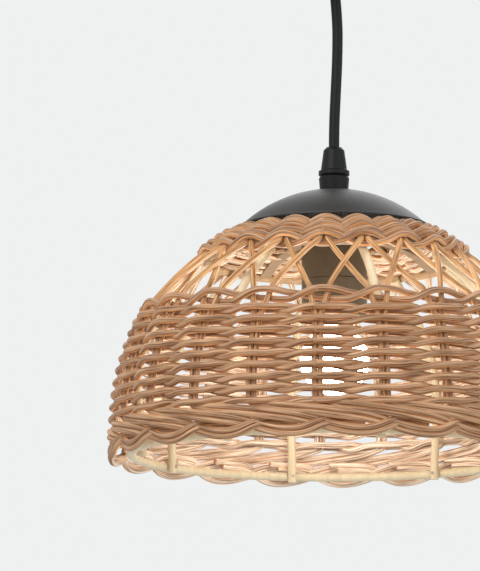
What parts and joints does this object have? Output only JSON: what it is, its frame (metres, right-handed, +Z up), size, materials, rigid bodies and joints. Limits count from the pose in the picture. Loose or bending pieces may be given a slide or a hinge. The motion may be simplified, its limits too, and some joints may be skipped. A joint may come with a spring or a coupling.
{
  "type": "pendant ceiling light",
  "caption": "Woven cane dome lampshade pendant: black cap and cord grip, cord with ceiling rose, lamp holder and screw-in opal bulb.",
  "frame": {"origin": "centre of the bracket's top face, which lies on the ceiling", "axes": "+Z up, along the hanging lamp's axis; +X along the bracket's two slots"},
  "size_m": [0.3006, 0.3006, 0.37],
  "materials": {
    "zinc_steel": "zinc plated",
    "black_metal": "matte charcoal black paint",
    "white_plastic": "moulded",
    "black_plastic": "satin moulded",
    "cord_black": "matte flexible sheath",
    "seal_rubber": "soft matte",
    "holder_brown": "olive brown satin",
    "holder_ceramic": "unglazed insert",
    "brass": "bright",
    "opal_glass": "opal white, lit",
    "bulb_metal": "nickel plated",
    "bulb_black_glass": "black insulator",
    "peeled_cane": "pale peeled cane",
    "woven_cane": "stained brown cane, satin",
    "lattice_cane": "golden brown cane, satin",
    "nail_steel": "dark nail heads"
  },
  "bodies": {
    "ceiling": {"ceiling_bracket": "zinc_steel", "rose_cover": "black_metal", "rose_screws": "black_metal", "terminal_block": "white_plastic", "terminal_screws": "zinc_steel", "cord_gland": "black_plastic", "gland_nut": "black_plastic", "ceiling_lead": "cord_black", "lead_clamp": "white_plastic"},
    "seal": {"gland_seal": "seal_rubber"},
    "hanging_cord": {"cord": "cord_black"},
    "lamp": {"grip_cone": "black_plastic", "grip_clamp": "white_plastic", "grip_nut": "black_plastic", "cap": "black_metal", "cap_washer": "zinc_steel", "cap_nut": "zinc_steel", "threaded_tube": "zinc_steel", "carrier_nut": "zinc_steel", "holder_nut": "zinc_steel", "carrier": "zinc_steel", "holder_body": "holder_brown", "holder_skirt": "holder_brown", "screw_shell": "brass", "holder_insulator": "holder_ceramic", "centre_contact": "brass", "holder_screws": "brass", "lamp_lead": "cord_black", "conductors": "brass", "bottom_hoop": "peeled_cane", "top_hoop": "peeled_cane", "hoop_nails": "nail_steel", "lower_weave": "woven_cane", "upper_weave": "woven_cane", "bottom_border": "woven_cane", "lattice_left": "lattice_cane", "lattice_right": "lattice_cane", "shade_rib_1": "peeled_cane", "shade_rib_2": "peeled_cane", "shade_rib_3": "peeled_cane", "shade_rib_4": "peeled_cane", "shade_rib_5": "peeled_cane", "shade_rib_6": "peeled_cane", "shade_rib_7": "peeled_cane", "shade_rib_8": "peeled_cane"},
    "bulb_tip": {"bulb_insulator": "bulb_black_glass", "bulb_contact": "bulb_metal"},
    "bulb": {"bulb_glass": "opal_glass", "bulb_base": "bulb_metal"}
  },
  "joints": [
    {"name": "swing_x", "type": "hinge", "parent": "ceiling", "child": "seal", "pos_m": [0, 0, -0.047], "axis": [1, 0, 0], "range_deg": [-20, 20]},
    {"name": "swing_y", "type": "hinge", "parent": "seal", "child": "hanging_cord", "pos_m": [0, 0, -0.047], "axis": [0, 1, 0], "range_deg": [-20, 20]},
    {"name": "lamp_turn", "type": "hinge", "parent": "hanging_cord", "child": "lamp", "pos_m": [0, 0, -0.17], "axis": [0, 0, 1], "range_deg": [-90, 90]},
    {"name": "bulb_feed", "type": "slide", "parent": "lamp", "child": "bulb_tip", "axis": [0, 0, 1], "range_m": [-0.0146, 0]},
    {"name": "bulb_turn", "type": "hinge", "parent": "bulb_tip", "child": "bulb", "pos_m": [0, 0, -0.303], "axis": [0, 0, 1], "range_deg": [-1440, 0]}
  ],
  "couplings": [
    {"joint": "bulb_feed", "follows": "bulb_turn", "m_per_rad": 0.00057614}
  ]
}
